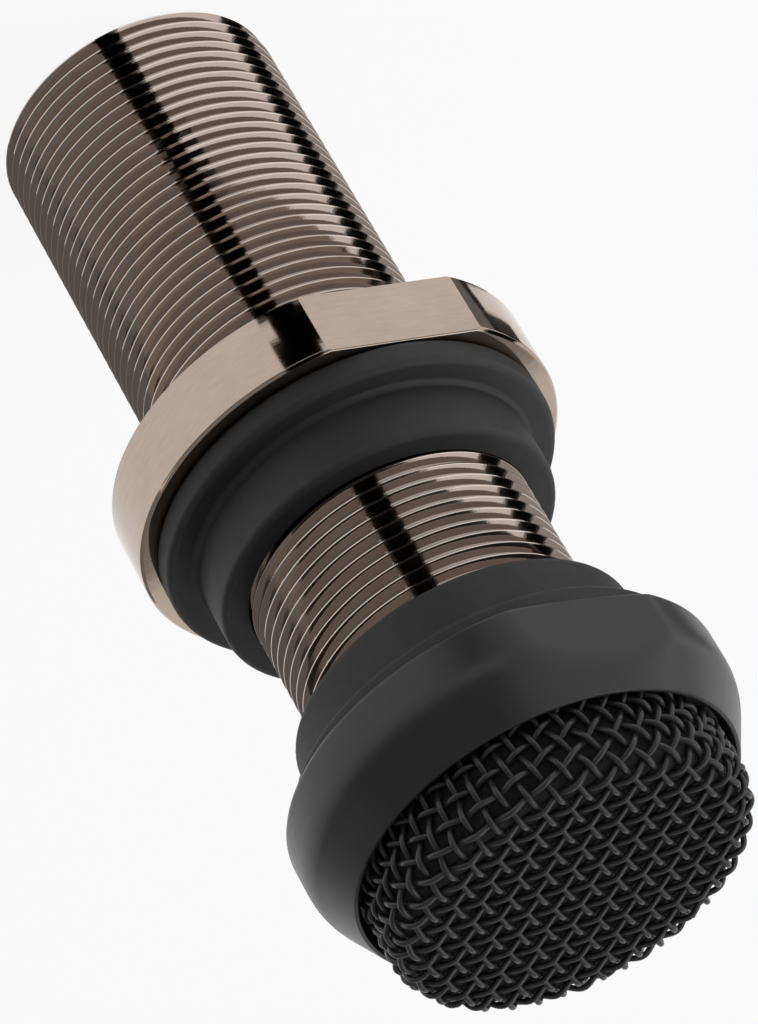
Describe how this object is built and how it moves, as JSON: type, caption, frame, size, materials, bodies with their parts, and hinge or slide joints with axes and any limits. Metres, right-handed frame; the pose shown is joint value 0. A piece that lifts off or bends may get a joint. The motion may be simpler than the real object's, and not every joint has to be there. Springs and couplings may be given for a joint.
{
  "type": "flush-mount electret microphone",
  "caption": "Flush-mount electret microphone: threaded barrel with two-flat ring nut, stepped rubber isolators that clamp a panel, and a bevelled head with a domed woven wire grille.",
  "frame": {"origin": "centre of the barrel's rear end, which the part stands on", "axes": "+Z along the barrel's axis towards the grille, Y square to the head's two wrench flats"},
  "size_m": [0.03, 0.0282, 0.071],
  "materials": {
    "dark_nickel": "dark nickel plate, bright on the thread's crests",
    "satin_nickel": "satin brushed nickel",
    "isolator_rubber": "matt moulded rubber",
    "black_satin_paint": "satin black coating",
    "black_wire": "black coated wire",
    "black_foam": "open foam",
    "boot_rubber": "soft rubber",
    "black_felt": "felt",
    "can_aluminium": "drawn aluminium",
    "contact_brass": "bright brass",
    "film": "metallised film",
    "white_insulator": "moulded insulator",
    "black_plastic": "moulded, matt",
    "green_board": "lacquered circuit board",
    "red_lead": "insulated lead",
    "blue_sleeve": "sleeved can",
    "pin_metal": "plated contact",
    "tinned_wire": "bright metal"
  },
  "bodies": {
    "microphone": {"threaded_barrel": "dark_nickel", "upper_isolator": "isolator_rubber", "head_shell": "black_satin_paint", "wire_grille": "black_wire", "grille_ring": "black_wire", "foam_disc": "black_foam", "capsule_boot": "boot_rubber", "dust_felt": "black_felt", "capsule_can": "can_aluminium", "diaphragm_ring": "contact_brass", "diaphragm_film": "film", "spacer_washer": "white_insulator", "back_electrode": "contact_brass", "electrode_holder": "white_insulator", "gate_ring": "contact_brass", "fet": "black_plastic", "capsule_board": "green_board", "capsule_leads": "red_lead", "amplifier_board": "green_board", "capacitors": "blue_sleeve", "transistors": "black_plastic", "resistors": "black_plastic", "connector_insert": "black_plastic", "contact_pins": "pin_metal", "pin_link": "tinned_wire", "insert_screw": "tinned_wire"},
    "isolator": {"lower_isolator": "isolator_rubber"},
    "nut": {"hex_nut": "satin_nickel"}
  },
  "joints": [
    {"name": "isolator_slide", "type": "slide", "parent": "microphone", "child": "isolator", "axis": [0, 0, 1], "range_m": [-0.0301, 0.0106]},
    {"name": "nut_turn", "type": "hinge", "parent": "isolator", "child": "nut", "pos_m": [0, 0, 0.0333], "axis": [0, 0, 1], "range_deg": [-10800, 3780]}
  ],
  "couplings": [
    {"joint": "isolator_slide", "follows": "nut_turn", "m_per_rad": 0.00015915}
  ]
}
